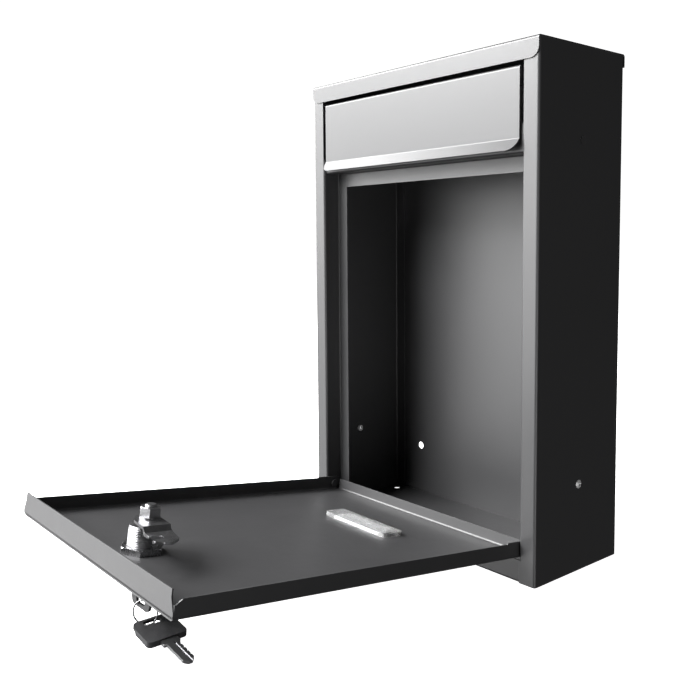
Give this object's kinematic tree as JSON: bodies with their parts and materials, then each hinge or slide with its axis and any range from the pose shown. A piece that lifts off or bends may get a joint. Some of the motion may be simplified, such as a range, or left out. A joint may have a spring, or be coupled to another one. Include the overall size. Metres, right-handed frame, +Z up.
{
  "type": "book drop box",
  "caption": "Wall-hung sheet steel return box with a hinged deposit flap at the top and a lockable front door that folds down, key in the lock.",
  "frame": {"origin": "middle of the four wall holes, on the rear face of the back panel", "axes": "+Z up, +Y into the wall, +X to the viewer's right when facing the box; the front faces -Y"},
  "size_m": [0.263, 0.3918, 0.4003],
  "materials": {
    "powder_coat": "satin black powder coat",
    "coated_fixings": "satin black",
    "bright_fixings": "bright",
    "lock_metal": "polished nickel plate",
    "cam_steel": "zinc plated",
    "key_metal": "nickel plated",
    "key_plastic": "moulded, fine texture",
    "ring_wire": "polished",
    "clear_plastic": "clear moulded plastic",
    "white_card": "blank white card"
  },
  "bodies": {
    "housing": {"side_left": "powder_coat", "side_right": "powder_coat", "back_panel": "powder_coat", "bottom_pan": "powder_coat", "header_rail": "powder_coat", "top_cap": "powder_coat", "door_rivets": "coated_fixings", "side_rivets": "bright_fixings", "side_plugs": "coated_fixings", "flap_brackets": "powder_coat", "flap_pins": "coated_fixings"},
    "flap": {"flap": "powder_coat"},
    "door": {"door_tray": "powder_coat", "lock_barrel": "lock_metal", "lock_nut": "lock_metal", "holder_shell": "clear_plastic", "holder_insert": "white_card"},
    "cylinder": {"lock_plug": "lock_metal", "cam": "cam_steel", "cam_washer": "cam_steel", "cam_nut": "cam_steel"},
    "key": {"key_blade": "key_metal", "key_bow": "key_plastic"},
    "ring": {"key_ring": "ring_wire"},
    "spare_key": {"spare_key_blade": "key_metal", "spare_key_bow": "key_plastic"}
  },
  "joints": [
    {"name": "door_hinge", "type": "hinge", "parent": "housing", "child": "door", "pos_m": [0, -0.09996, -0.17586], "axis": [-1, 0, 0], "range_deg": [0, 82.24]},
    {"name": "flap_hinge", "type": "hinge", "parent": "housing", "child": "flap", "pos_m": [0, -0.099, 0.177], "axis": [-1, 0, 0], "range_deg": [0, 75]},
    {"name": "lock_turn", "type": "hinge", "parent": "door", "child": "cylinder", "pos_m": [0.0019, -0.35145, -0.14819], "axis": [0, -0.135, -0.9908], "range_deg": [0, 90]},
    {"name": "key_draw", "type": "slide", "parent": "cylinder", "child": "key", "axis": [0, -0.135, -0.9908], "range_m": [0, 0.0305]},
    {"name": "ring_swing", "type": "hinge", "parent": "key", "child": "ring", "pos_m": [0.0019, -0.35563, -0.17911], "axis": [0, 1, 0], "range_deg": [-6, 6]},
    {"name": "spare_key_swing", "type": "hinge", "parent": "ring", "child": "spare_key", "pos_m": [0.0092, -0.35223, -0.19291], "axis": [0, 1, 0], "range_deg": [-5, 30]}
  ]
}
